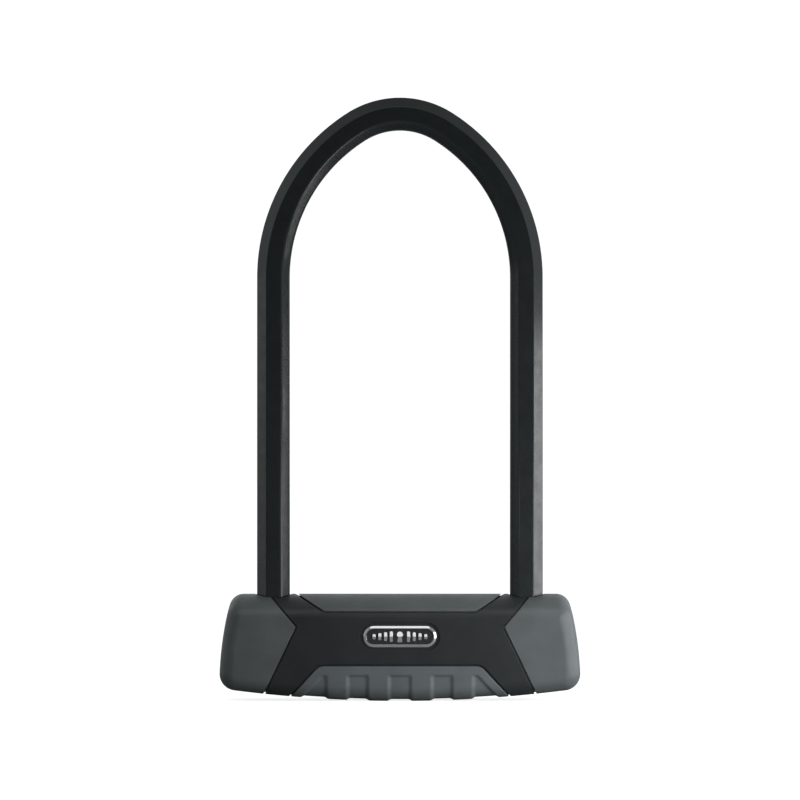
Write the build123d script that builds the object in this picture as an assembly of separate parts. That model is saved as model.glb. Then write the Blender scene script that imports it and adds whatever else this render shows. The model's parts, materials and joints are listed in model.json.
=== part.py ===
from build123d import *
import math
import os

# A bicycle U-lock. A bent square bar of hardened steel, in a moulded coat, drops into a steel
# crossbar. Moulded covers clad the crossbar, and a disc cylinder inside it throws two bolts
# into notches near the ends of the bar. +Z is up, the front faces -Y, and the origin is under
# the middle of the crossbar. The lock is closed on its shackle with the bolts drawn back.

# Driving dimensions, in millimetres and degrees
BAR = 13.0                  # square bar of the shackle
COAT = 1.5                  # coat on the bar
OUTER_CHAMFER = 3.7         # bar chamfers on the outside of the bend
INNER_CHAMFER = 3.1         # bar chamfers facing the loop
LOOP_WIDTH = 108.0          # clear width between the coated legs
LOOP_HEIGHT = 227.2         # clear height from the crossbar to the arch
CROWN_RADIUS = 40.0         # centreline of the arch's top
FLANK_RADIUS = 87.5         # centreline of the arch's flanks

BODY_DEPTH = 40.0
BODY_TOP = 52.05            # crest of the crossbar
BOTTOM_RADIUS = 640.0       # long curve of the underside
SIDE_RADIUS = 164.0         # curve of the ends, seen from the front
SIDE_REACH = 88.25          # half length at the widest level
SIDE_LEVEL = 7.15           # height of the widest level
ROOF_RADIUS = 28.0          # curve of the top, seen from the end
EDGE_RADIUS = 7.2           # rounding all round the crossbar
LOW_CORNER_RADIUS = 8.2     # lower corners, seen from the front

SEAM = 0.85                 # gap between two covers
SEAM_BREAK = 0.2            # broken edge on each side of a seam
SEAM_DEPTH = 0.9            # below this, the covers lap close together
LAP_GAP = 0.02
DENT_DEPTH = 0.9            # finger dents in the grip
DENT_TOP = 12.45
LEG_GAP = 1.0               # covers stand this far off the coated leg

WALL = 3.5                  # steel casing
CASE_HALF = 78.0
CASE_DEPTH = 28.0
CASE_BOTTOM = 8.0
CASE_TOP = 45.0
FIT = 0.1                   # play between fixed pieces that slide together
RUNNING = 0.05              # radial play of the turning pieces

CYLINDER_RADIUS = 9.0
ROTOR_RADIUS = 6.3
CYLINDER_TOP = 27.0
CAM_PIN_CIRCLE = 5.0        # cam pins' distance from the key's axis
CAM_PIN_RADIUS = 1.5
KEY_TURN = 90.0
BOLT_BOTTOM = 26.7
BOLT_TOP = 36.3
NOTCH_DEPTH = 6.1
CHANNEL_HALF_DEPTH = 8.4    # room in the chassis for the bolts and their tails
BOLT_CLEAR = 1.5            # gap between a bolt that is drawn back and the leg
CAM_RADIUS = 8.6
CAM_THICK = 3.0
TANG = 6.0                  # square drive between rotor and cam
DISC_RADIUS = 5.2
DISC_THICK = 1.5
SPACER_THICK = 0.6
DISC_COUNT = 7
SIDEBAR_RADIUS = 0.9
SHUTTER_HEAD = 5.2          # round head of the keyhole shutter
SHUTTER_EYE = 2.6           # its eye round the pin
SHUTTER_THICK = 1.2
SHUTTER_Z = 4.4
SHUTTER_PIVOT = 13.0        # the shutter's pin, to the right of the key
SHUTTER_PIN_RADIUS = 1.2
KEY_HOLE_RADIUS = 4.6
BADGE_LENGTH = 35.6
BADGE_HEIGHT = 10.4
BADGE_RIM = 1.35            # width of the chrome ring
BADGE_MARGIN = 1.8          # gap round the ring in its recess
BADGE_RECESS = 0.8
BADGE_PROUD = 0.35
PLATE_DEPTH = 0.2           # the badge's plate lies this far below the cover
RING_SLOPE = 24.0           # fall of the chrome ring towards its outside
SIGN_SLOPE = 10.0           # fall of the badge's signs above and below their middle
SEAL_TOP = 50.0

# Worked out from the dimensions above
SECTION = BAR + 2 * COAT
LEG_X = (LOOP_WIDTH + SECTION) / 2
FLANK_X = FLANK_RADIUS - LEG_X
CROWN_TURN = math.degrees(math.asin(FLANK_X / (FLANK_RADIUS - CROWN_RADIUS)))
CROWN_Z = BODY_TOP + LOOP_HEIGHT + SECTION / 2 - CROWN_RADIUS
FLANK_Z = CROWN_Z - (FLANK_RADIUS - CROWN_RADIUS) * math.cos(math.radians(CROWN_TURN))
CAVITY_HALF_DEPTH = CASE_DEPTH / 2 - WALL
CAVITY_BOTTOM = CASE_BOTTOM + WALL
CAVITY_TOP = CASE_TOP - WALL
TOE_Z = CAVITY_BOTTOM + 2.0
COAT_END_Z = CASE_TOP + 2.0
SOCKET_INNER = LEG_X - 11.5
BOLT_THROW = 2 * CAM_PIN_CIRCLE * math.sin(math.radians(KEY_TURN / 2))
BADGE_Z = 31.65
ROTOR_Z = CASE_BOTTOM + 2.3
STACK_Z = ROTOR_Z + 0.2
STACK_HEIGHT = DISC_COUNT * DISC_THICK + (DISC_COUNT - 1) * SPACER_THICK
SIDEBAR_Y = ROTOR_RADIUS - SIDEBAR_RADIUS
CIRCLIP_Z = CYLINDER_TOP + 0.1
CAM_Z = CYLINDER_TOP + 1.3
TAIL_Z = CAM_Z + CAM_THICK + 0.2

os.makedirs("parts", exist_ok=True)


def save(name, shape):
    """Write one node's solids to its own file."""
    export_step(shape, f"parts/{name}.step")


def block(x0, x1, y0, y1, z0, z1):
    """A box between two corners."""
    size = (x1 - x0, y1 - y0, z1 - z0)
    return Pos((x0 + x1) / 2, (y0 + y1) / 2, (z0 + z1) / 2) * Box(*size)


def disc(radius, z0, z1, x=0.0, y=0.0):
    """An upright cylinder between two levels."""
    return Pos(x, y, (z0 + z1) / 2) * Cylinder(radius, z1 - z0)


def mirrored(shape):
    """The same piece at the other end of the crossbar."""
    return mirror(shape, about=Plane.YZ)


def through_depth(face):
    """A face drawn in X and Z, extruded right through the crossbar."""
    return extrude(Plane.XZ * face, BODY_DEPTH, both=True)


def sharp_edges(solid, least=15.0):
    """Edges where two faces meet at a real angle."""
    faces = solid.faces()
    found = ShapeList()
    for edge in solid.edges():
        beside = [face for face in faces if any(edge.is_same(other) for other in face.edges())]
        if len(beside) != 2:
            continue
        middle = edge @ 0.5
        first, second = (face.normal_at(middle) for face in beside)
        if first.get_angle(second) > least:
            found.append(edge)
    return found


# ---------------------------------------------------------------- shackle

def bar_outline(grow=0.0):
    """Section of the left leg, which has its outside of the bend towards -X."""
    half = BAR / 2
    outline = Polyline(
        (-half + OUTER_CHAMFER, -half),
        (half - INNER_CHAMFER, -half),
        (half, -half + INNER_CHAMFER),
        (half, half - INNER_CHAMFER),
        (half - INNER_CHAMFER, half),
        (-half + OUTER_CHAMFER, half),
        (-half, half - OUTER_CHAMFER),
        (-half, -half + OUTER_CHAMFER),
        close=True,
    )
    face = make_face(outline)
    if grow:
        face = offset(face, grow, kind=Kind.INTERSECTION)
    return face


def leg_prism(grow, z0, z1):
    """A straight stretch of the left leg's section."""
    return Pos(-LEG_X, 0, z0) * extrude(bar_outline(grow), z1 - z0)


def bent_bar(grow, end_z):
    """The whole bend: two straight legs, two flanks and the top of the arch."""
    section = Pos(-LEG_X, 0, FLANK_Z) * bar_outline(grow)
    left_centre = Axis((FLANK_X, 0, FLANK_Z), (0, 1, 0))
    top_centre = Axis((0, 0, CROWN_Z), (0, 1, 0))
    flank_turn = 90 - CROWN_TURN
    left_leg = leg_prism(grow, end_z, FLANK_Z)
    left_flank = revolve(section, left_centre, flank_turn)
    crown = revolve(section.rotate(left_centre, flank_turn), top_centre, 2 * CROWN_TURN)
    right_flank = mirrored(left_flank)
    return left_leg + left_flank + crown + right_flank + mirrored(left_leg)


def toe_taper():
    """Lead-in at the foot of the left leg, as a tool that keeps what is inside it."""
    foot = Pos(-LEG_X, 0, TOE_Z) * Rectangle(BAR - 4, BAR - 4)
    full = Pos(-LEG_X, 0, TOE_Z + 4) * Rectangle(BAR + 1, BAR + 1)
    return loft([foot, full])


def shackle_bar():
    """The bent steel bar, with tapered feet and a notch in each leg for its bolt."""
    bar = bent_bar(0.0, TOE_Z + 4)
    toe = leg_prism(0.0, TOE_Z, TOE_Z + 4) & toe_taper()
    inner_face = -LEG_X + BAR / 2
    notch = block(inner_face - NOTCH_DEPTH, inner_face + 5, -BAR, BAR, BOLT_BOTTOM - 0.4, BOLT_TOP + 0.4)
    for foot in (toe, mirrored(toe)):
        bar += foot
    for cut in (notch, mirrored(notch)):
        bar -= cut
    return bar


def shackle_sleeve():
    """Moulded coat on the bar, which ends just inside the crossbar."""
    return bent_bar(COAT, COAT_END_Z) - bent_bar(0.0, COAT_END_Z - 1)


# ---------------------------------------------------------------- outer covers

def envelope(inset=0.0):
    """The crossbar's outer skin, or the same skin a little way inside it."""
    half = BODY_DEPTH / 2 - inset
    front = Pos(0, BOTTOM_RADIUS) * Circle(BOTTOM_RADIUS - inset)
    for side in (-1, 1):
        front &= Pos(side * (SIDE_REACH - SIDE_RADIUS), SIDE_LEVEL) * Circle(SIDE_RADIUS - inset)
    front &= Pos(0, BODY_TOP / 2) * Rectangle(2 * SIDE_REACH + 4, BODY_TOP + 8)
    low_corners = front.vertices().filter_by(lambda corner: corner.Y < BODY_TOP / 2)
    front = fillet(low_corners, LOW_CORNER_RADIUS - inset)

    roof_centre = BODY_TOP - ROOF_RADIUS
    end = Pos(0, roof_centre) * Circle(ROOF_RADIUS - inset)
    end += Pos(0, roof_centre / 2 - 5) * Rectangle(2 * BODY_DEPTH, roof_centre + 10)

    body = extrude(Plane.XZ * front, half, both=True)
    body &= extrude(Plane.YZ * end, 2 * SIDE_REACH, both=True)
    return fillet(sharp_edges(body), EDGE_RADIUS - inset)


def cap_region(gap):
    """Front view of the right end cap: a blunt arrow pointing inwards."""
    vertex = (50.5, 36.3)
    rise = 14.3 / 12.2
    fall = 15.5 / 32.2
    top = 70.0
    bottom = -10.0
    beyond = 120.0
    outline = FilletPolyline(
        (vertex[0] + (top - vertex[1]) / rise, top),
        vertex,
        (vertex[0] + (vertex[1] - bottom) * fall, bottom),
        (beyond, bottom),
        (beyond, top),
        radius=1.2,
        close=True,
    )
    return offset(make_face(outline), -gap, kind=Kind.INTERSECTION)


def top_region(gap):
    """Front view of the panel on top, between the legs."""
    level = 43.7
    corner = 37.1
    spread = 12.9 / 8.0
    top = 70.0
    reach = corner + (top - level) * spread
    outline = Polyline((-reach, top), (-corner, level), (corner, level), (reach, top), close=True)
    return offset(make_face(outline), -gap, kind=Kind.INTERSECTION)


def grip_region(gap):
    """Front view of the grip: a flat-topped shape with round shoulders."""
    level = 17.6
    shoulder = 39.8
    spread = 11.5 / 12.7
    bottom = -10.0
    reach = shoulder + (level - bottom) * spread
    points = [(-reach, bottom), (-shoulder, level), (shoulder, level), (reach, bottom)]
    outline = FilletPolyline(*points, radius=[0.01, 6.4, 6.4, 0.01], close=True)
    return offset(make_face(outline), -gap, kind=Kind.INTERSECTION)


def dent_regions():
    """Front views of the five finger dents in the grip."""
    floor = -10.0
    outer_lean = 11.5 / 12.7
    middle_half = 5.2
    side_start = 15.8
    side_end = 25.4
    outer_start = 35.9
    outer_end = 38.0
    dents = [block(-middle_half, middle_half, -BODY_DEPTH, BODY_DEPTH, floor, DENT_TOP)]
    side = block(side_start, side_end, -BODY_DEPTH, BODY_DEPTH, floor, DENT_TOP)
    corner = Polyline(
        (outer_start, floor),
        (outer_start, DENT_TOP),
        (outer_end, DENT_TOP),
        (outer_end + (DENT_TOP - floor) * outer_lean, floor),
        close=True,
    )
    outer = through_depth(make_face(corner))
    for dent in (side, outer):
        dents += [dent, mirrored(dent)]
    return dents


def casing_space():
    """What the covers leave free for the steel casing."""
    half = CASE_HALF + FIT
    depth = CASE_DEPTH / 2 + FIT
    return block(-half, half, -depth, depth, CASE_BOTTOM - FIT, CASE_TOP + FIT)


def leg_holes(grow, z0, z1):
    """Tools for the holes that both legs pass through."""
    hole = leg_prism(grow, z0, z1)
    return hole + mirrored(hole)


def soften(piece, skin, size=SEAM_BREAK):
    """Break the edges where a cut meets the outer skin."""
    faces = skin.faces()
    edges = ShapeList()
    for edge in sharp_edges(piece):
        middle = Vertex(edge @ 0.5)
        if min(face.distance_to(middle) for face in faces) < 0.001:
            edges.append(edge)
    return chamfer(edges, size)


def badge_outline(grow=0.0):
    """The badge's stadium on the front of the crossbar, or one a little larger or smaller."""
    return Pos(0, BADGE_Z) * SlotOverall(BADGE_LENGTH + 2 * grow, BADGE_HEIGHT + 2 * grow)


def on_front(face, depth_in, depth_out, taper=0.0):
    """A face drawn in X and Z, from one depth behind the front to another."""
    start = Plane.XZ.offset(BODY_DEPTH / 2 - depth_in)
    return extrude(start * face, depth_in + depth_out, taper=taper)


def without_neighbours(shell, gap, grip_gap):
    """What the end caps, the top panel and the grip leave of a shell."""
    cap = through_depth(cap_region(gap))
    for region in (cap, mirrored(cap), through_depth(top_region(gap)), through_depth(grip_region(grip_gap))):
        shell -= region
    return shell


def cover_pieces():
    """All the moulded covers round the casing, with seams that are closed below a small depth."""
    skin = envelope()
    shell = skin - casing_space()
    lap = envelope(SEAM_DEPTH) - casing_space()
    half_gap = SEAM / 2
    half_lap = LAP_GAP / 2
    holes = leg_holes(COAT + LEG_GAP, CASE_TOP - 1, BODY_TOP + 5)
    badge_recess = on_front(badge_outline(BADGE_MARGIN), BADGE_RECESS, 1.0)

    cap = soften(shell & through_depth(cap_region(half_gap)), skin)
    cap += lap & through_depth(cap_region(half_lap))
    cap -= holes
    top = soften(shell & through_depth(top_region(half_gap)), skin)
    top += lap & through_depth(top_region(half_lap))
    front_half = block(-100, 100, -BODY_DEPTH, -FIT / 2, -10, 70)
    front = soften(without_neighbours(shell, -half_gap, -half_gap) & front_half, skin)
    front += without_neighbours(lap, -half_lap, half_gap - LAP_GAP) & front_half
    front -= holes
    save("right_end_cap", cap)
    save("left_end_cap", mirrored(cap))
    save("top_panel", top)
    save("front_cover", front - badge_recess)
    save("rear_cover", mirror(front, about=Plane.XZ))
    save("grip_pad", grip_pad(skin, shell))


def grip_pad(skin, shell):
    """Grip under the crossbar, with finger dents and the round key opening."""
    pad = soften(shell & through_depth(grip_region(SEAM / 2)), skin)
    dented_skin = envelope(DENT_DEPTH)
    for dent in dent_regions():
        pad -= dent - dented_skin
    swing_room = SHUTTER_HEAD + 0.6
    right = SHUTTER_PIVOT + SHUTTER_EYE + 0.6
    swing_back = SHUTTER_PIVOT + 2.4
    shutter_room = block(-swing_room, right, -swing_room, swing_back, SHUTTER_Z - 0.2, CASE_BOTTOM)
    pin_room = disc(2.4, SHUTTER_Z - 1.4, CASE_BOTTOM, SHUTTER_PIVOT)
    key_hole = disc(KEY_HOLE_RADIUS, -1, CASE_BOTTOM)
    return pad - shutter_room - pin_room - key_hole


def badge_pieces():
    """A chrome ring, a dark plate inside it, and a plain keyhole sign between bars."""
    upright = 0.1
    bezel = on_front(badge_outline(), BADGE_RECESS, -upright)
    bezel += on_front(badge_outline(), upright, BADGE_PROUD, 90 - RING_SLOPE)
    bezel -= on_front(badge_outline(-BADGE_RIM), BADGE_RECESS + 1, BADGE_PROUD + 1)
    save("badge_bezel", bezel)
    plate = on_front(badge_outline(-BADGE_RIM - 0.05), BADGE_RECESS, -PLATE_DEPTH)
    save("badge_plate", plate)

    sign = Pos(0, BADGE_Z + 1.0) * Circle(1.5)
    sign += Pos(0, BADGE_Z - 1.1) * Trapezoid(2.6, 3.2, 79)
    signs = [sign]
    first_bar_x = 4.2
    bar_pitch = 2.8
    tallest_bar = 5.2
    for side in (-1, 1):
        for step in range(4):
            x = side * (first_bar_x + bar_pitch * step)
            height = tallest_bar - 0.9 * step
            signs.append(Pos(x, BADGE_Z) * RectangleRounded(1.5, height, 0.5))
    ridge = sign_ridge()
    save("badge_emblem", group([on_front(face, PLATE_DEPTH, BADGE_PROUD + 1) & ridge for face in signs]))


def sign_ridge():
    """A tool that leaves the signs with a low ridge along their middle."""
    crest = -BODY_DEPTH / 2 - BADGE_PROUD
    half = BADGE_HEIGHT / 2
    fall = half * math.tan(math.radians(SIGN_SLOPE))
    behind = 0.0
    outline = Polyline(
        (crest, BADGE_Z),
        (crest + fall, BADGE_Z + half),
        (behind, BADGE_Z + half),
        (behind, BADGE_Z - half),
        (crest + fall, BADGE_Z - half),
        close=True,
    )
    return extrude(Plane.YZ * make_face(outline), BADGE_LENGTH / 2, both=True)


def leg_seal():
    """Rubber frame round the left leg, sunk a little below the covers."""
    outside = leg_prism(COAT + LEG_GAP - 0.05, CASE_TOP + FIT, SEAL_TOP)
    return outside - leg_prism(COAT + 0.3, CASE_TOP, SEAL_TOP + 1)


# ---------------------------------------------------------------- casing and sockets

def crossbar_casing():
    """A square steel tube, open for the legs on top and for the cylinder below."""
    outside = Pos(0, (CASE_BOTTOM + CASE_TOP) / 2) * RectangleRounded(CASE_DEPTH, CASE_TOP - CASE_BOTTOM, 2.5)
    inside_size = (2 * CAVITY_HALF_DEPTH, CAVITY_TOP - CAVITY_BOTTOM)
    inside = Pos(0, (CAVITY_BOTTOM + CAVITY_TOP) / 2) * Rectangle(*inside_size)
    tube = extrude(Plane.YZ * (outside - inside), CASE_HALF, both=True)
    tube -= leg_holes(0.4, CAVITY_TOP - 1, CASE_TOP + 1)
    tube -= disc(CYLINDER_RADIUS + RUNNING, CASE_BOTTOM - 1, CAVITY_BOTTOM + 1)
    return tube - disc(SHUTTER_PIN_RADIUS, CASE_BOTTOM - 1, CAVITY_BOTTOM + 1, SHUTTER_PIVOT)


def fill_cavity(x0, x1, z0=CAVITY_BOTTOM, z1=CAVITY_TOP):
    """A block that fits the inside of the casing with a little play."""
    half = CAVITY_HALF_DEPTH - FIT
    return block(x0, x1, -half, half, z0 + FIT, z1 - FIT)


def lock_chassis():
    """Cast block that holds the cylinder and guides the bolts."""
    body = fill_cavity(-SOCKET_INNER + FIT, SOCKET_INNER - FIT)
    body -= disc(CYLINDER_RADIUS + RUNNING, CAVITY_BOTTOM - 1, CAM_Z + CAM_THICK + 0.2)
    half = CHANNEL_HALF_DEPTH
    body -= block(-LEG_X, LEG_X, -half, half, BOLT_BOTTOM - 0.2, BOLT_TOP + 0.3)
    pocket_near = 24.0
    pocket_far = 44.0
    pocket = block(pocket_near, pocket_far, -half, half, CAVITY_BOTTOM - 1, BOLT_BOTTOM - 3)
    for hollow in (pocket, mirrored(pocket)):
        body -= hollow
    return body


def leg_socket():
    """Steel guide for the left foot, with a window for the bolt."""
    body = fill_cavity(-CASE_HALF + WALL + FIT, -SOCKET_INNER)
    body -= leg_prism(0.25, CAVITY_BOTTOM - 1, CAVITY_TOP + 1)
    return body - block(-LEG_X, 0, -6.2, 6.2, BOLT_BOTTOM - 0.2, BOLT_TOP + 0.2)


def leg_buffer():
    """Rubber pad under the left foot."""
    return leg_prism(0.0, CAVITY_BOTTOM, TOE_Z - FIT)


# ---------------------------------------------------------------- bolts

def left_bolt():
    """Bolt drawn back: a block with a nose outwards and a slotted tail over the cam."""
    nose_x = -LEG_X + BAR / 2 + BOLT_CLEAR
    shoulder_x = -SOCKET_INNER + BOLT_THROW + 0.6
    heel_x = -11.0
    nose_half = 6.0
    body_half = 8.0
    bolt = block(nose_x, heel_x, -nose_half, nose_half, BOLT_BOTTOM, BOLT_TOP)
    bolt += block(shoulder_x, heel_x, -body_half, body_half, BOLT_BOTTOM, BOLT_TOP)
    pin_x = BOLT_THROW / 2
    tail_end = pin_x + CAM_PIN_RADIUS + 1.8
    bolt += block(heel_x - 1, tail_end, 0.4, body_half, TAIL_Z, TAIL_Z + 3.6)
    slot_half = CAM_PIN_RADIUS + 0.3
    slot_mid = (CAM_PIN_CIRCLE + CAM_PIN_CIRCLE * math.cos(math.radians(KEY_TURN / 2))) / 2
    slot = Pos(pin_x, slot_mid) * Rectangle(2 * slot_half, 2 * (CAM_PIN_RADIUS + 1.05))
    bolt -= Pos(0, 0, TAIL_Z - 1) * extrude(slot, 6)
    tip = [edge for edge in bolt.edges().filter_by(Axis.Y) if abs((edge @ 0.5).X - nose_x) < 0.01]
    return chamfer(tip, 1.0)


# ---------------------------------------------------------------- cylinder

def cylinder_housing():
    """Barrel with the rotor's bore and the groove that the sidebar locks into."""
    barrel = disc(CYLINDER_RADIUS, CASE_BOTTOM, CYLINDER_TOP)
    barrel -= disc(ROTOR_RADIUS + RUNNING, CASE_BOTTOM - 1, CYLINDER_TOP + 1)
    return barrel - disc(SIDEBAR_RADIUS + 0.1, ROTOR_Z, CYLINDER_TOP - 1.2, -ROTOR_RADIUS)


def anti_drill_disc():
    """Hard face of the rotor, with the keyway."""
    return disc(ROTOR_RADIUS, CASE_BOTTOM + 0.2, ROTOR_Z - FIT) - keyway(CASE_BOTTOM, ROTOR_Z)


def keyway(z0, z1):
    """The key's own slot, which lies along X in the rest pose."""
    return Pos(0, 0, z0) * extrude(SlotOverall(8.4, 2.6), z1 - z0)


def rotor_sleeve():
    """Cup that holds the discs, with a slot for the sidebar and a square tang on top."""
    closed_z = STACK_Z + STACK_HEIGHT + 0.2
    sleeve = disc(ROTOR_RADIUS, ROTOR_Z, CYLINDER_TOP + 1.2)
    sleeve -= disc(DISC_RADIUS + RUNNING, ROTOR_Z - 1, closed_z)
    sleeve -= block(-0.95, 0.95, 3, 8, STACK_Z, closed_z - 0.4)
    groove = disc(ROTOR_RADIUS + 1, CIRCLIP_Z, CIRCLIP_Z + 0.8) - disc(ROTOR_RADIUS - 0.5, CIRCLIP_Z, CIRCLIP_Z + 0.8)
    tang = block(-TANG / 2, TANG / 2, -TANG / 2, TANG / 2, CYLINDER_TOP + 1, CAM_Z + CAM_THICK)
    return sleeve - groove + tang


def code_disc(z):
    """One disc, with the keyway and the notch that the sidebar drops into."""
    plate = disc(DISC_RADIUS, z, z + DISC_THICK) - keyway(z - 1, z + DISC_THICK + 1)
    return plate - disc(SIDEBAR_RADIUS + 0.1, z - 1, z + DISC_THICK + 1, 0, SIDEBAR_Y)


def disc_stack():
    """Code discs with a thin spacer between each two."""
    pitch = DISC_THICK + SPACER_THICK
    discs = [code_disc(STACK_Z + pitch * i) for i in range(DISC_COUNT)]
    spacers = []
    for i in range(DISC_COUNT - 1):
        z = STACK_Z + pitch * i + DISC_THICK
        ring = disc(DISC_RADIUS - 0.1, z, z + SPACER_THICK) - disc(3.8, z - 1, z + 1)
        spacers.append(ring - disc(SIDEBAR_RADIUS + 0.1, z - 1, z + 1, 0, SIDEBAR_Y))
    save("code_discs", group(discs))
    save("disc_spacers", group(spacers))


def group(parts):
    """Separate solids in one file."""
    return Compound(children=[solid for part in parts for solid in part.solids()])


def sidebar():
    """Bar along the stack, in the notches of all the discs."""
    return disc(SIDEBAR_RADIUS, STACK_Z + 0.3, STACK_Z + STACK_HEIGHT - 0.3, 0, SIDEBAR_Y)


def circlip():
    """Open ring that keeps the rotor in its housing."""
    ring = disc(ROTOR_RADIUS + 1.2, CIRCLIP_Z + 0.05, CIRCLIP_Z + 0.75)
    ring -= disc(ROTOR_RADIUS - 0.45, CIRCLIP_Z, CIRCLIP_Z + 1)
    return ring - block(-2, 2, 0, 10, CIRCLIP_Z, CIRCLIP_Z + 1)


def drive_cam():
    """Round plate on the rotor's tang, with one pin for each bolt."""
    cam = disc(CAM_RADIUS, CAM_Z, CAM_Z + CAM_THICK)
    angle = math.radians(KEY_TURN / 2)
    x = CAM_PIN_CIRCLE * math.sin(angle)
    y = CAM_PIN_CIRCLE * math.cos(angle)
    for side in (-1, 1):
        cam += disc(CAM_PIN_RADIUS, CAM_Z + 1, TAIL_Z + 3.4, side * x, side * y)
    return cam - block(-TANG / 2, TANG / 2, -TANG / 2, TANG / 2, CAM_Z - 1, CAM_Z + CAM_THICK)


# ---------------------------------------------------------------- keyhole shutter

def keyhole_shutter():
    """Small swinging plate: a round head over the key hole, and an eye on its pin."""
    head = Circle(SHUTTER_HEAD)
    eye = Pos(SHUTTER_PIVOT, 0) * Circle(SHUTTER_EYE)
    neck = Pos(SHUTTER_PIVOT / 2, 0) * Rectangle(SHUTTER_PIVOT, 2 * SHUTTER_EYE - 0.4)
    plate = Pos(0, 0, SHUTTER_Z) * extrude(head + eye + neck, SHUTTER_THICK)
    return plate - disc(SHUTTER_PIN_RADIUS + RUNNING, SHUTTER_Z - 1, SHUTTER_Z + 3, SHUTTER_PIVOT)


def shutter_pin():
    """Headed pin in the casing that the shutter swings on."""
    shaft = disc(SHUTTER_PIN_RADIUS, SHUTTER_Z - 1.2, CAVITY_BOTTOM, SHUTTER_PIVOT)
    return shaft + disc(2.1, SHUTTER_Z - 1.2, SHUTTER_Z - 0.15, SHUTTER_PIVOT)


def shutter_spring():
    """Return coil wound round the pin, above the plate."""
    wire = 0.22
    radius = 1.9
    path = Helix(0.6, 1.6, radius)
    section = Plane(path @ 0, z_dir=path % 0) * Circle(wire)
    coil = sweep(section, path)
    return Pos(SHUTTER_PIVOT, 0, SHUTTER_Z + SHUTTER_THICK + 0.1 + wire) * coil


save("shackle_bar", shackle_bar())
save("shackle_sleeve", shackle_sleeve())
cover_pieces()
badge_pieces()
save("left_leg_seal", leg_seal())
save("right_leg_seal", mirrored(leg_seal()))
save("crossbar_casing", crossbar_casing())
end_plate = fill_cavity(CASE_HALF - WALL, CASE_HALF)
save("right_end_plate", end_plate)
save("left_end_plate", mirrored(end_plate))
save("lock_chassis", lock_chassis())
save("left_leg_socket", leg_socket())
save("right_leg_socket", mirrored(leg_socket()))
save("left_leg_buffer", leg_buffer())
save("right_leg_buffer", mirrored(leg_buffer()))
save("left_bolt", left_bolt())
save("right_bolt", left_bolt().rotate(Axis.Z, 180))
save("cylinder_housing", cylinder_housing())
save("anti_drill_disc", anti_drill_disc())
save("rotor_sleeve", rotor_sleeve())
disc_stack()
save("sidebar", sidebar())
save("circlip", circlip())
save("drive_cam", drive_cam())
save("keyhole_shutter", keyhole_shutter())
save("shutter_pin", shutter_pin())
save("shutter_spring", shutter_spring())
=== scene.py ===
import json
import math

import bmesh
import bpy
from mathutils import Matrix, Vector


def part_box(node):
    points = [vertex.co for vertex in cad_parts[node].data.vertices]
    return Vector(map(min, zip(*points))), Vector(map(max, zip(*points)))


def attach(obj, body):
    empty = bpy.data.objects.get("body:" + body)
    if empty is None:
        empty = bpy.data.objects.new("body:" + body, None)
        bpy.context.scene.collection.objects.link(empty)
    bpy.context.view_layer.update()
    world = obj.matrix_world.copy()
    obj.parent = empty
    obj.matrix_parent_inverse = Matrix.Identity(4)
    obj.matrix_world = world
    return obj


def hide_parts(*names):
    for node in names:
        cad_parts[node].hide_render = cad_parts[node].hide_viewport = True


# A bicycle U-lock, in metres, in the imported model's frame: +Z up, the front towards -Y.
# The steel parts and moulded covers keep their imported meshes. The coat on the shackle and the
# dented grip are made here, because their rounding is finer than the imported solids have.

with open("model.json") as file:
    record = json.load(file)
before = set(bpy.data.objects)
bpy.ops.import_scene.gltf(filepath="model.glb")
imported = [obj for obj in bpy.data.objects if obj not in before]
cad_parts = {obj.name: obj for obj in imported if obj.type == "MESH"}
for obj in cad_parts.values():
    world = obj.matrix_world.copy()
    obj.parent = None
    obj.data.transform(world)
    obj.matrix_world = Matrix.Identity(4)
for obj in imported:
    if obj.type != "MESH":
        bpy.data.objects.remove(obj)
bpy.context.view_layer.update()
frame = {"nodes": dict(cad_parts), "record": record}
nodes = frame["nodes"]

MM = 0.001
SLIVER = 0.001 * MM             # least distance that matters

# The coat on the bent bar. Its two radii are those of the bar's centreline.
CROWN_RADIUS = 40.0 * MM
FLANK_RADIUS = 87.5 * MM
COAT_THICKNESS = 1.5 * MM
BORE_CLEARANCE = 0.02 * MM      # between the bar and the coat round it
OUTER_CHAMFER = 4.58 * MM       # cut along each side at the corners outside the bend
INNER_CHAMFER = 3.98 * MM       # and at the corners facing the loop
OUTER_ROUND = 0.9 * MM          # rounding of the cut corners
INNER_ROUND = 2.4 * MM
LEAST_ROUND = 0.1 * MM
CORNER_STEPS = 5
LEG_STEPS = 8
FLANK_STEPS = 44
CROWN_STEPS = 20
LIP = 0.5 * MM                  # rounding at each end of the coat
LIP_PROFILE = ((0.0, 1.0), (0.15, 0.45), (0.45, 0.13))      # rise and inset, in lips

# The grip, as seen from the front. It stops half a seam short of the seam's middle.
HALF_SEAM = 0.425 * MM
GRIP_CORNER = 39.8 * MM         # where the middle of the seam turns down, on either side
GRIP_LEVEL = 17.175 * MM        # upper edge of the grip itself
GRIP_SPREAD = 11.5 / 12.7       # how far its ends spread for each step down
GRIP_SHOULDER = 6.0 * MM        # radius where its upper edge turns down
GRIP_ROLL = 7.2 * MM            # round edge between a face and the underside
GRIP_EDGE = 0.45 * MM           # rounding where the grip meets the seam
GRIP_FACE_WALL = 5.0 * MM
GRIP_FLOOR_WALL = 2.8 * MM
LINING_ROLL = 1.0 * MM
UNDERSIDE_RADIUS = 640.0 * MM
EDGE_STEPS = [0.0, 0.1 * MM, 0.2 * MM, 0.32 * MM, GRIP_EDGE]
SKIN_STEPS = 54                 # from a face's upper edge to the middle of the underside
GRIP_COLUMNS = 220
END_ROUNDS = 20                 # more than the search for the grip's end needs
SHARP_ANGLE = math.radians(38)

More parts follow.
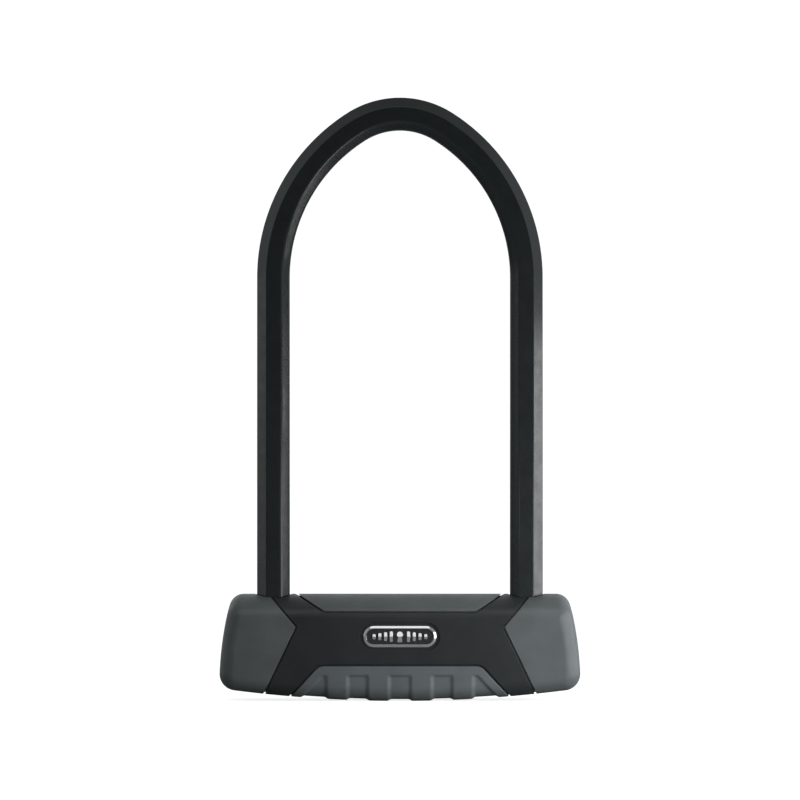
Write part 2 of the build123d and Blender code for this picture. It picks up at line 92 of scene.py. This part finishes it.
# The finger dents, from the middle of the grip outwards.
DENT_DEPTH = 0.9 * MM
DENT_TOP = 12.45 * MM
DENT_BLEND = 2.2 * MM           # width of a dent's soft side
DENT_TOP_BLEND = 0.5 * DENT_BLEND
DENT_SPANS = ((-5.2 * MM, 5.2 * MM), (15.8 * MM, 25.4 * MM))
END_DENT_START = 35.9 * MM
END_DENT_TOP = 38.0 * MM        # its outer end at the dents' top, from where it follows the grip's end

# The round opening for the key, and the plug that cuts it.
KEY_HOLE_RADIUS = 4.6 * MM
KEY_HOLE_RIM = 0.4 * MM         # flare of the opening
RIM_BREAK = 0.3 * KEY_HOLE_RIM
CUTTER_MARGIN = 1 * MM          # how far the plug starts below the opening
CUTTER_TOP = 6 * MM
CUTTER_SIDES = 96


# ---------------------------------------------------------------- meshes

def smooth_step(value):
    value = max(0.0, min(1.0, value))
    return value * value * (3 - 2 * value)


def make_piece(name, points, faces, body, slot, *replaced):
    """A closed smooth mesh that rides on a body and stands for CAD nodes."""
    mesh = bpy.data.meshes.new(name)
    mesh.from_pydata(points, [], faces)
    mesh.validate()
    work = bmesh.new()
    work.from_mesh(mesh)
    bmesh.ops.remove_doubles(work, verts=work.verts, dist=SLIVER)
    bmesh.ops.recalc_face_normals(work, faces=work.faces)
    work.to_mesh(mesh)
    work.free()
    piece = bpy.data.objects.new(name, mesh)
    bpy.context.scene.collection.objects.link(piece)
    mesh.shade_smooth()
    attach(piece, body)
    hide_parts(*replaced)
    return piece


def band(faces, first, second, closed=True):
    """Quads between two rows of point numbers."""
    count = len(first)
    for i in range(count if closed else count - 1):
        j = (i + 1) % count
        faces.append((first[i], first[j], second[j], second[i]))


def weigh_normals(piece):
    """Flat stretches stay flat beside their rounded corners."""
    weigh = piece.modifiers.new("weigh_normals", "WEIGHTED_NORMAL")
    weigh.mode = "FACE_AREA"
    weigh.keep_sharp = True


# ---------------------------------------------------------------- coat of the shackle

def bar_section(half, inset):
    """Rounded octagon as (outwards, depth) pairs; outwards is away from the loop."""
    grown = inset * (2 - math.sqrt(2))
    outer = OUTER_CHAMFER - grown
    inner = INNER_CHAMFER - grown
    reach = half - inset
    corners = []
    for side, chamfer, radius in ((1, outer, OUTER_ROUND), (-1, inner, INNER_ROUND)):
        flat = (side * (reach - chamfer), reach)
        steep = (side * reach, reach - chamfer)
        pair = [(flat, radius), (steep, radius)]
        corners += pair if side > 0 else pair[::-1]
    upper = corners[:2] + [((x, -y), r) for (x, y), r in reversed(corners[:2])]
    lower = [((x, -y), r) for (x, y), r in reversed(corners[2:])] + corners[2:]
    outline = [Vector(point) for point, _ in upper + lower]
    radii = [max(radius - inset, LEAST_ROUND) for _, radius in upper + lower]
    return round_corners(outline, radii)


def round_corners(outline, radii):
    """Each corner of a closed outline as an arc of its own radius."""
    rounded = []
    for i, corner in enumerate(outline):
        back = (outline[i - 1] - corner).normalized()
        onward = (outline[(i + 1) % len(outline)] - corner).normalized()
        half_angle = back.angle(onward) / 2
        middle = (back + onward).normalized()
        centre = corner + middle * (radii[i] / math.sin(half_angle))
        turn = math.pi / 2 - half_angle
        across = Vector((-middle.y, middle.x))
        if across.dot(back) < 0:
            across = -across
        for k in range(CORNER_STEPS):
            angle = turn * (1 - 2 * k / (CORNER_STEPS - 1))
            rounded.append(centre + radii[i] * (across * math.sin(angle) - middle * math.cos(angle)))
    return rounded


def bend_stations():
    """The bar's centreline as (x, z, outward angle), left end of the coat to right, and half its width."""
    low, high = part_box("shackle_sleeve")
    half = (high.y - low.y) / 2
    leg_x = high.x - half
    flank_x = FLANK_RADIUS - leg_x
    crown_z = high.z - half - CROWN_RADIUS
    reach = FLANK_RADIUS - CROWN_RADIUS
    crown_turn = math.asin(flank_x / reach)
    flank_z = crown_z - reach * math.cos(crown_turn)

    rise = flank_z - low.z
    leg = [(-leg_x, low.z + rise * k / LEG_STEPS, math.pi) for k in range(LEG_STEPS + 1)]
    flank_turn = math.pi / 2 - crown_turn
    flank = []
    for k in range(1, FLANK_STEPS + 1):
        angle = math.pi - flank_turn * k / FLANK_STEPS
        x = flank_x + FLANK_RADIUS * math.cos(angle)
        flank.append((x, flank_z + FLANK_RADIUS * math.sin(angle), angle))
    crown = []
    for k in range(1, CROWN_STEPS):
        angle = math.pi / 2 + crown_turn * (1 - k / CROWN_STEPS)
        crown.append((CROWN_RADIUS * math.cos(angle), crown_z + CROWN_RADIUS * math.sin(angle), angle))
    left = leg + flank + crown
    top = (0.0, crown_z + CROWN_RADIUS, math.pi / 2)
    right = [(-x, z, math.pi - angle) for x, z, angle in reversed(left)]
    return left + [top] + right, half


def shackle_coat():
    """Thick moulded coat: an eight-sided skin outside, the bar's shape inside, a soft lip at each end."""
    stations, half = bend_stations()
    first, last = stations[0], stations[-1]
    lips = [(rise * LIP, inset * LIP) for rise, inset in LIP_PROFILE]
    lead = [((first[0], first[1] + rise, first[2]), inset) for rise, inset in lips]
    trail = [((last[0], last[1] + rise, last[2]), inset) for rise, inset in reversed(lips)]
    first_full = (first[0], first[1] + LIP, first[2])
    last_full = (last[0], last[1] + LIP, last[2])
    skin = lead + [(first_full, 0.0)] + [(s, 0.0) for s in stations[1:-1]] + [(last_full, 0.0)] + trail
    bore_inset = COAT_THICKNESS - BORE_CLEARANCE
    bore = [(s, bore_inset) for s in reversed(stations)]

    points = []
    faces = []
    rings = []
    for (x, z, angle), inset in skin + bore:
        ring = []
        for outward, depth in bar_section(half, inset):
            ring.append(len(points))
            points.append((x + outward * math.cos(angle), depth, z + outward * math.sin(angle)))
        rings.append(ring)
    for i, ring in enumerate(rings):
        band(faces, ring, rings[(i + 1) % len(rings)])
    coat = make_piece("shackle_coat", points, faces, "shackle", "coat", "shackle_sleeve")
    weigh_normals(coat)
    return coat


# ---------------------------------------------------------------- grip

def grip_end():
    """Half length of the grip along its upper edge, and where its end meets the underside."""
    lean = math.sqrt(1 + GRIP_SPREAD ** 2)
    shoulder = GRIP_CORNER - HALF_SEAM * (lean - GRIP_SPREAD)
    reach = shoulder
    for _ in range(END_ROUNDS):
        reach = shoulder + (GRIP_LEVEL - underside(reach)) * GRIP_SPREAD
    return shoulder, reach


def underside(x):
    """Height of the long curve under the crossbar."""
    return UNDERSIDE_RADIUS - math.sqrt(UNDERSIDE_RADIUS ** 2 - x * x)


def grip_top(x, shoulder):
    """Height of the grip's upper edge, and how steeply it falls, as an angle."""
    x = abs(x)
    fall = math.atan(1 / GRIP_SPREAD)
    start = shoulder - GRIP_SHOULDER * math.tan(fall / 2)
    if x <= start:
        return GRIP_LEVEL, 0.0
    if x < start + GRIP_SHOULDER * math.sin(fall):
        angle = math.asin((x - start) / GRIP_SHOULDER)
        return GRIP_LEVEL - GRIP_SHOULDER * (1 - math.cos(angle)), angle
    return GRIP_LEVEL - (x - shoulder) / GRIP_SPREAD, fall


def dent_amount(x, z):
    """How deep the finger dents are here, from 0 to 1."""
    x = abs(x)
    end_dent = (END_DENT_START, END_DENT_TOP + (DENT_TOP - z) * GRIP_SPREAD)
    amount = 0.0
    for start, end in (*DENT_SPANS, end_dent):
        inside = min(x - start, end - x)
        amount = max(amount, smooth_step(inside / DENT_BLEND + 0.5))
    below = (DENT_TOP - z) / DENT_TOP_BLEND + 0.5
    return amount * smooth_step(below)


def edge_inset(distance):
    """How far the skin curves in, this near to the grip's edge."""
    short = max(0.0, GRIP_EDGE - distance)
    return GRIP_EDGE - math.sqrt(max(GRIP_EDGE ** 2 - short ** 2, 0.0))


def section_walk(half, roll, base, top):
    """Points and outward directions from the front edge to the middle of the underside."""
    face = max(0.0, top - base - roll)
    skipped = 0.0
    if top < base + roll:
        skipped = roll * math.acos(max(-1.0, 1 - (top - base) / roll))
        skipped = roll * math.pi / 2 - skipped
    arc = roll * math.pi / 2
    length = face + arc - skipped + half - roll
    rest = length - GRIP_EDGE
    steps = EDGE_STEPS + [GRIP_EDGE + rest * (k + 1) / SKIN_STEPS for k in range(SKIN_STEPS)]
    walk = []
    for step in steps:
        along = step + skipped if face == 0.0 else step
        if face and step <= face:
            walk.append(((-half, top - step), (-1.0, 0.0)))
        elif along - face <= arc:
            angle = (along - face) / roll
            out = (-math.cos(angle), -math.sin(angle))
            walk.append(((-half + roll + roll * out[0], base + roll + roll * out[1]), out))
        else:
            walk.append(((-half + roll + (along - face - arc), base), (0.0, -1.0)))
    return walk


def grip_rows(xs, half, shoulder):
    """Outer skin with dents and soft edges, and the plain inner skin, as grids of points."""
    outer = []
    inner = []
    for x in xs:
        top, fall = grip_top(x, shoulder)
        base = underside(x)
        top = max(top, base + SLIVER)
        skin = []
        for (y, z), (out_y, out_z) in section_walk(half, GRIP_ROLL, base, top):
            depth = edge_inset((top - z) * math.cos(fall))
            depth = max(depth, DENT_DEPTH * dent_amount(x, z))
            skin.append((x, y - out_y * depth, z - out_z * depth))
        inner_half = half - GRIP_FACE_WALL
        floor = base + GRIP_FLOOR_WALL
        lining = []
        inner_top = max(top, floor + SLIVER)
        for (y, z), _ in section_walk(inner_half, LINING_ROLL, floor, inner_top):
            limit = shoulder + (GRIP_LEVEL - z) * GRIP_SPREAD
            lining.append((math.copysign(min(abs(x), limit), x), y, z))
        outer.append(skin + [(px, -py, pz) for px, py, pz in reversed(skin[:-1])])
        inner.append(lining + [(px, -py, pz) for px, py, pz in reversed(lining[:-1])])
    return outer, inner


def key_cutter():
    """A plug with a flared mouth, which cuts the round key opening and its soft rim."""
    mouth = KEY_HOLE_RADIUS + KEY_HOLE_RIM
    profile = [
        (mouth + CUTTER_MARGIN, -CUTTER_MARGIN + DENT_DEPTH),
        (mouth, DENT_DEPTH),
        (KEY_HOLE_RADIUS + RIM_BREAK, DENT_DEPTH + RIM_BREAK),
        (KEY_HOLE_RADIUS, DENT_DEPTH + KEY_HOLE_RIM),
        (KEY_HOLE_RADIUS, CUTTER_TOP),
    ]
    points = []
    faces = []
    rings = []
    for radius, z in profile:
        rings.append([len(points) + i for i in range(CUTTER_SIDES)])
        for i in range(CUTTER_SIDES):
            angle = 2 * math.pi * i / CUTTER_SIDES
            points.append((radius * math.cos(angle), radius * math.sin(angle), z))
    for lower, upper in zip(rings, rings[1:]):
        band(faces, lower, upper)
    faces.append(tuple(reversed(rings[0])))
    faces.append(tuple(rings[-1]))
    mesh = bpy.data.meshes.new("key_cutter")
    mesh.from_pydata(points, [], faces)
    cutter = bpy.data.objects.new("key_cutter", mesh)
    bpy.context.scene.collection.objects.link(cutter)
    return cutter


def cut(piece, cutter):
    """Subtract the cutter and keep the result as the piece's own mesh."""
    boolean = piece.modifiers.new("cut", "BOOLEAN")
    boolean.operation = "DIFFERENCE"
    boolean.solver = "EXACT"
    boolean.object = cutter
    bpy.context.view_layer.update()
    view = bpy.context.evaluated_depsgraph_get()
    result = bpy.data.meshes.new_from_object(piece.evaluated_get(view))
    piece.modifiers.remove(boolean)
    piece.data = result
    bpy.data.objects.remove(cutter)


def grip():
    """Moulded grip with five soft finger dents in each face, open for the key below."""
    half = (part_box("grip_pad")[1].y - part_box("grip_pad")[0].y) / 2
    shoulder, reach = grip_end()
    span = 2 * (reach - GRIP_EDGE)
    middle = [-reach + GRIP_EDGE + span * k / GRIP_COLUMNS for k in range(1, GRIP_COLUMNS)]
    xs = [-reach + step for step in EDGE_STEPS] + middle + [reach - step for step in reversed(EDGE_STEPS)]
    outer, inner = grip_rows(xs, half, shoulder)

    width = len(outer[0])
    points = [p for column in outer for p in column] + [p for column in inner for p in column]
    shift = len(outer) * width

    def column(i, offset=0):
        return [offset + i * width + k for k in range(width)]

    faces = []
    last = len(xs) - 1
    for i in range(last):
        band(faces, column(i), column(i + 1), closed=False)
        band(faces, column(i + 1, shift), column(i, shift), closed=False)
    for row in (0, width - 1):
        line = [i * width + row for i in range(len(xs))]
        lining = [shift + number for number in line]
        band(faces, line, lining, closed=False)
    for i in (0, last):
        band(faces, column(i), column(i, shift), closed=False)
    piece = make_piece("grip_moulding", points, faces, "crossbar", "grip_plastic", "grip_pad")
    cut(piece, key_cutter())
    piece.data.set_sharp_from_angle(angle=SHARP_ANGLE)
    return piece


# ---------------------------------------------------------------- materials

class Surface:
    """A node material, built up from the Principled shader by short calls."""

    def __init__(self, name, roughness, metallic=0.0):
        self.material = bpy.data.materials.new(name)
        self.material.use_nodes = True
        self.tree = self.material.node_tree
        self.shader = self.tree.nodes["Principled BSDF"]
        self.shader.inputs["Roughness"].default_value = roughness
        self.shader.inputs["Metallic"].default_value = metallic
        self.place = self.tree.nodes.new("ShaderNodeTexCoord").outputs["Object"]

    def node(self, kind, inputs=None, **settings):
        made = self.tree.nodes.new(kind)
        for key, value in settings.items():
            setattr(made, key, value)
        for key, value in (inputs or {}).items():
            self.feed(made.inputs[key], value)
        return made

    def feed(self, socket, value):
        if isinstance(value, bpy.types.NodeSocket):
            self.tree.links.new(value, socket)
        else:
            socket.default_value = value

    def shade(self, **inputs):
        for key, value in inputs.items():
            self.feed(self.shader.inputs[key.replace("_", " ")], value)

    def noise(self, size, detail=2.0, stretch=(1, 1, 1), rough=0.5):
        """Noise whose features are about this size, in metres."""
        placed = self.node("ShaderNodeMapping", {"Vector": self.place, "Scale": stretch})
        made = self.node(
            "ShaderNodeTexNoise",
            {"Vector": placed.outputs[0], "Scale": 1 / size, "Detail": detail, "Roughness": rough},
        )
        return made.outputs["Fac"]

    def rings(self, size):
        """Turning marks round an upright axis through the origin."""
        made = self.node(
            "ShaderNodeTexWave",
            {"Vector": self.place, "Scale": 1 / size, "Distortion": 0.6, "Detail": 1.0},
            wave_type="RINGS",
            rings_direction="Z",
        )
        return made.outputs["Fac"]

    def spread(self, value, low, high, start=0.3, end=0.7):
        """A value from start to end as one from low to high."""
        made = self.node(
            "ShaderNodeMapRange",
            {"Value": value, "From Min": start, "From Max": end, "To Min": low, "To Max": high},
        )
        return made.outputs[0]

    def blend(self, amount, first, second):
        """A colour between two colours."""
        made = self.node("ShaderNodeMix", data_type="RGBA")
        self.feed(made.inputs[0], amount)
        self.feed(made.inputs[6], first)
        self.feed(made.inputs[7], second)
        return made.outputs[2]

    def mottle(self, noise, dark, light):
        """A colour that drifts between two with the noise."""
        return self.blend(self.spread(noise, 0, 1), dark, light)

    def product(self, first, second):
        made = self.node("ShaderNodeMath", operation="MULTIPLY")
        self.feed(made.inputs[0], first)
        self.feed(made.inputs[1], second)
        return made.outputs[0]

    def soft_normal(self, radius):
        """Normal that rounds the sharp edges of a mesh."""
        return self.node("ShaderNodeBevel", {"Radius": radius}, samples=6).outputs[0]

    def edge_mask(self, radius):
        """1 on edges, 0 on flats."""
        soft = self.soft_normal(radius)
        own = self.node("ShaderNodeNewGeometry").outputs["Normal"]
        dot = self.node("ShaderNodeVectorMath", operation="DOT_PRODUCT")
        self.feed(dot.inputs[0], soft)
        self.feed(dot.inputs[1], own)
        return self.spread(dot.outputs["Value"], 1.0, 0.0, start=0.86, end=0.99)

    def relief(self, height, depth, normal=None):
        """Bump of this depth, in metres, over an optional softer normal."""
        made = self.node("ShaderNodeBump", {"Height": height, "Distance": depth, "Strength": 1.0})
        if normal is not None:
            self.feed(made.inputs["Normal"], normal)
        return made.outputs[0]


def rgb(*values):
    return (*values, 1.0)


def tinted(colour, factor, lift=0.0):
    """A colour made lighter or darker, and never over white."""
    return rgb(*(min(1.0, c * factor + lift) for c in colour))


def moulded_plastic(name, colour, roughness, grain=0.45 * MM, depth=0.012 * MM, gloss=0.5):
    """Satin moulding: fine grain, faint flow marks, edges painted a little lighter, partly as rubbed wear
    and partly as a painted highlight.
    """
    surface = Surface(name, roughness)
    cloud = surface.noise(14 * MM, detail=4)
    body = surface.mottle(cloud, tinted(colour, 0.9), tinted(colour, 1.12))
    # Lighter colour on edges and seams: partly rubbed wear, partly a painted highlight along the edges.
    worn_and_highlit = tinted(colour, 1.7, lift=0.012)
    rub_and_highlight = surface.product(surface.edge_mask(0.35 * MM), surface.spread(surface.noise(3 * MM), 0.05, 0.25))
    speckle = surface.noise(grain, detail=3, rough=0.6)
    rough = surface.spread(surface.noise(6 * MM, detail=5), roughness - 0.05, roughness + 0.05)
    normal = surface.relief(speckle, depth, surface.soft_normal(0.18 * MM))
    surface.shade(Base_Color=surface.blend(rub_and_highlight, body, worn_and_highlit), Roughness=rough, Normal=normal)
    surface.shader.inputs["Specular IOR Level"].default_value = gloss
    return surface.material


def chrome():
    """Bright plating with hairline polish marks."""
    surface = Surface("chrome", 0.12, metallic=1.0)
    hair = surface.noise(0.5 * MM, detail=3, stretch=(0.1, 1, 1))
    rough = surface.spread(surface.noise(2 * MM, detail=4), 0.08, 0.17)
    tone = surface.mottle(hair, rgb(0.78, 0.79, 0.8), rgb(0.88, 0.89, 0.9))
    normal = surface.relief(hair, 0.002 * MM, surface.soft_normal(0.2 * MM))
    surface.shade(Base_Color=tone, Roughness=rough, Normal=normal)
    return surface.material


def badge_lacquer():
    """Smooth dark lacquer with a trace of orange peel."""
    surface = Surface("badge_lacquer", 0.18)
    peel = surface.noise(1.1 * MM, detail=2)
    tone = surface.mottle(peel, rgb(0.016, 0.018, 0.019), rgb(0.022, 0.024, 0.025))
    rough = surface.spread(surface.noise(4 * MM, detail=4), 0.14, 0.24)
    surface.shade(Base_Color=tone, Roughness=rough, Normal=surface.relief(peel, 0.004 * MM))
    return surface.material


def rubber():
    """Dull rubber with a dusty bloom."""
    surface = Surface("seal_rubber", 0.75)
    bloom = surface.noise(2.5 * MM, detail=6)
    tone = surface.mottle(bloom, rgb(0.008, 0.008, 0.009), rgb(0.02, 0.02, 0.021))
    grain = surface.noise(0.25 * MM, detail=2)
    rough = surface.spread(bloom, 0.68, 0.85)
    surface.shade(Base_Color=tone, Roughness=rough, Normal=surface.relief(grain, 0.015 * MM))
    return surface.material


def worked_steel(name, dark, light, roughness, stretch=(0.05, 1, 1), mark=0.3 * MM):
    """Steel with fine marks along one direction and bright rubbed edges."""
    surface = Surface(name, roughness, metallic=1.0)
    marks = surface.noise(mark, detail=4, stretch=stretch, rough=0.65)
    stain = surface.noise(9 * MM, detail=5)
    tone = surface.mottle(stain, rgb(*dark), rgb(*light))
    bright = tinted(light, 1.5)
    edge = surface.product(surface.edge_mask(0.25 * MM), 0.6)
    rough = surface.spread(marks, roughness - 0.08, roughness + 0.1)
    normal = surface.relief(marks, 0.006 * MM, surface.soft_normal(0.15 * MM))
    surface.shade(Base_Color=surface.blend(edge, tone, bright), Roughness=rough, Normal=normal)
    return surface.material


def turned_metal(name, dark, light, roughness):
    """Metal off the lathe: fine rings round the key's axis."""
    surface = Surface(name, roughness, metallic=1.0)
    rings = surface.rings(0.35 * MM)
    stain = surface.noise(5 * MM, detail=5)
    tone = surface.mottle(stain, rgb(*dark), rgb(*light))
    rough = surface.spread(rings, roughness - 0.06, roughness + 0.08, start=0.0, end=1.0)
    normal = surface.relief(rings, 0.003 * MM, surface.soft_normal(0.12 * MM))
    surface.shade(Base_Color=tone, Roughness=rough, Normal=normal)
    return surface.material


def cast_metal():
    """Die-cast zinc: cloudy, with a fine pebbled skin."""
    surface = Surface("cast_zinc", 0.5, metallic=1.0)
    pebble = surface.noise(0.6 * MM, detail=5, rough=0.7)
    cloud = surface.noise(11 * MM, detail=4)
    tone = surface.mottle(cloud, rgb(0.42, 0.43, 0.44), rgb(0.58, 0.59, 0.6))
    rough = surface.spread(pebble, 0.42, 0.62)
    normal = surface.relief(pebble, 0.03 * MM, surface.soft_normal(0.3 * MM))
    surface.shade(Base_Color=tone, Roughness=rough, Normal=normal)
    return surface.material


def paint(piece, material):
    """Give a piece one material all over."""
    piece.data.materials.clear()
    piece.data.materials.append(material)


def paint_all(coat, moulding):
    """Every piece gets the material of its slot in the record."""
    along_x = (0.06, 1, 1)
    along_y = (1, 0.08, 1)
    along_z = (1, 1, 0.05)
    materials = {
        "bar_steel": worked_steel("oxide_steel", (0.09, 0.09, 0.095), (0.16, 0.16, 0.165), 0.38, along_z),
        "coat": moulded_plastic("coat_vinyl", (0.0105, 0.0128, 0.0133), 0.24, depth=0.004 * MM),
        "dark_plastic": moulded_plastic("dark_cover", (0.0145, 0.0163, 0.0168), 0.4, gloss=0.45),
        "grey_plastic": moulded_plastic("grey_cover", (0.067, 0.0745, 0.0765), 0.42, gloss=0.45),
        "grip_plastic": moulded_plastic(
            "grip_plastic", (0.082, 0.092, 0.095), 0.48, grain=0.6 * MM, depth=0.018 * MM, gloss=0.4
        ),
        "chrome": chrome(),
        "badge_dark": badge_lacquer(),
        "seal_rubber": rubber(),
        "casing_steel": worked_steel("plated_steel", (0.36, 0.37, 0.38), (0.48, 0.49, 0.5), 0.34),
        "zinc": cast_metal(),
        "brass": turned_metal("turned_brass", (0.6, 0.46, 0.22), (0.76, 0.61, 0.32), 0.3),
        "hard_steel": worked_steel("ground_steel", (0.42, 0.42, 0.43), (0.56, 0.56, 0.57), 0.24, along_y),
        "shutter_steel": worked_steel("shutter_steel", (0.5, 0.51, 0.52), (0.62, 0.63, 0.64), 0.22, along_x),
    }
    for part in frame["record"]["subparts"]:
        paint(nodes[part["node"]], materials[part["material_slot"]])
    paint(coat, materials["coat"])
    paint(moulding, materials["grip_plastic"])


# ---------------------------------------------------------------- studio

def ramp(tree, value, start, end, low, high, shape="LINEAR"):
    """A value from start to end as one from low to high."""
    made = tree.nodes.new("ShaderNodeMapRange")
    made.interpolation_type = shape
    for key, limit in (("From Min", start), ("From Max", end), ("To Min", low), ("To Max", high)):
        made.inputs[key].default_value = limit
    tree.links.new(value, made.inputs["Value"])
    return made.outputs[0]


def by_camera(tree, hidden, seen):
    """One shader where the camera looks, and another for all light that falls on things."""
    path = tree.nodes.new("ShaderNodeLightPath")
    mix = tree.nodes.new("ShaderNodeMixShader")
    tree.links.new(path.outputs["Is Camera Ray"], mix.inputs[0])
    tree.links.new(hidden.outputs[0], mix.inputs[1])
    tree.links.new(seen.outputs[0], mix.inputs[2])
    return mix.outputs[0]


def studio_world():
    """White to the camera; to the object, a dim room that is darkest in front of it."""
    world = bpy.data.worlds.new("studio")
    bpy.context.scene.world = world
    world.use_nodes = True
    tree = world.node_tree
    place = tree.nodes.new("ShaderNodeTexCoord")
    split = tree.nodes.new("ShaderNodeSeparateXYZ")
    tree.links.new(place.outputs["Generated"], split.inputs[0])
    room = ramp(tree, split.outputs["Y"], -0.95, -0.3, 0.06, 0.7, "SMOOTHSTEP")
    ceiling = ramp(tree, split.outputs["Z"], 0.5, 1.0, 1.0, 0.35)
    both = tree.nodes.new("ShaderNodeMath")
    both.operation = "MULTIPLY"
    tree.links.new(room, both.inputs[0])
    tree.links.new(ceiling, both.inputs[1])
    dim = tree.nodes["Background"]
    dim.inputs["Color"].default_value = rgb(0.93, 1.0, 1.01)
    tree.links.new(both.outputs[0], dim.inputs["Strength"])
    white = tree.nodes.new("ShaderNodeBackground")
    white.inputs["Color"].default_value = rgb(1, 1, 1)
    white.inputs["Strength"].default_value = 1.05
    tree.links.new(by_camera(tree, dim, white), tree.nodes["World Output"].inputs["Surface"])


def floor():
    """Pale floor: it glows a little to the camera, and bounces a measured amount of light."""
    half = 8.0
    mesh = bpy.data.meshes.new("floor")
    corners = [(-half, -half, 0), (half, -half, 0), (half, half, 0), (-half, half, 0)]
    mesh.from_pydata(corners, [], [(0, 1, 2, 3)])
    plane = bpy.data.objects.new("floor", mesh)
    bpy.context.scene.collection.objects.link(plane)
    material = bpy.data.materials.new("pale_floor")
    material.use_nodes = True
    tree = material.node_tree
    tree.nodes.remove(tree.nodes["Principled BSDF"])
    pale = tree.nodes.new("ShaderNodeBsdfDiffuse")
    pale.inputs["Color"].default_value = rgb(0.6, 0.6, 0.6)
    glow = tree.nodes.new("ShaderNodeEmission")
    glow.inputs["Strength"].default_value = 0.82
    glowing = tree.nodes.new("ShaderNodeAddShader")
    tree.links.new(pale.outputs[0], glowing.inputs[0])
    tree.links.new(glow.outputs[0], glowing.inputs[1])
    bounce = tree.nodes.new("ShaderNodeBsdfDiffuse")
    bounce.inputs["Color"].default_value = rgb(0.3, 0.31, 0.31)
    surface = by_camera(tree, bounce, glowing)
    tree.links.new(surface, tree.nodes["Material Output"].inputs["Surface"])
    mesh.materials.append(material)


def softbox(name, place, target, width, height, radiance, mirrored=True):
    """A rectangular lamp that faces the target, as bright as stated, seen in gloss only if mirrored."""
    lamp = bpy.data.lights.new(name, "AREA")
    lamp.shape = "RECTANGLE"
    lamp.size = width
    lamp.size_y = height
    lamp.energy = radiance * math.pi * width * height
    holder = bpy.data.objects.new(name, lamp)
    holder.location = place
    holder.rotation_euler = (Vector(target) - Vector(place)).to_track_quat("-Z", "Y").to_euler()
    holder.visible_camera = False
    holder.visible_glossy = mirrored
    bpy.context.scene.collection.objects.link(holder)


def lights():
    """Strip lamps beside both legs, a low softbox on the right, and cards for the badge to reflect."""
    softbox("right_strip", (0.30, 0.0, 0.0925), (0.0, 0.0, 0.0925), 0.06, 0.175, 5.0)
    softbox("left_strip", (-0.35, 0.0, 0.11), (0.0, 0.0, 0.11), 0.045, 0.22, 0.5)
    beside = (0.215, -0.165, 0.055)
    right_end = (0.06, 0.0, 0.055)
    softbox("right_softbox", beside, right_end, 0.2, 0.11, 3.2)
    softbox("right_fill", beside, right_end, 0.2, 0.11, 12.0, mirrored=False)
    softbox("upper_card", (0.0, -0.6, 0.75), (0.0, 0.0, 0.03), 0.6, 0.5, 0.8)
    softbox("badge_card", (0.0, -0.15, 0.0865), (0.0, -0.02, 0.032), 0.05, 0.05, 0.85)
    softbox("overhead_softbox", (0.0, 0.1, 1.4), (0.0, 0.0, 0.0), 1.6, 1.2, 0.1)


def camera():
    """Level with the middle of the lock and straight in front of it, from far away."""
    lens = bpy.data.cameras.new("camera")
    lens.sensor_width = 36.0
    lens.lens = 300.0
    seen_width = 0.3924
    aside = 0.00005
    level = 0.14703
    distance = seen_width * lens.lens / lens.sensor_width
    holder = bpy.data.objects.new("camera", lens)
    holder.location = (aside, -distance, level)
    holder.rotation_euler = (math.pi / 2, 0.0, 0.0)
    lens.clip_end = 50.0
    bpy.context.scene.collection.objects.link(holder)
    bpy.context.scene.camera = holder


coat = shackle_coat()
moulding = grip()
paint_all(coat, moulding)
studio_world()
floor()
lights()
camera()
bpy.context.scene.view_settings.view_transform = "Standard"
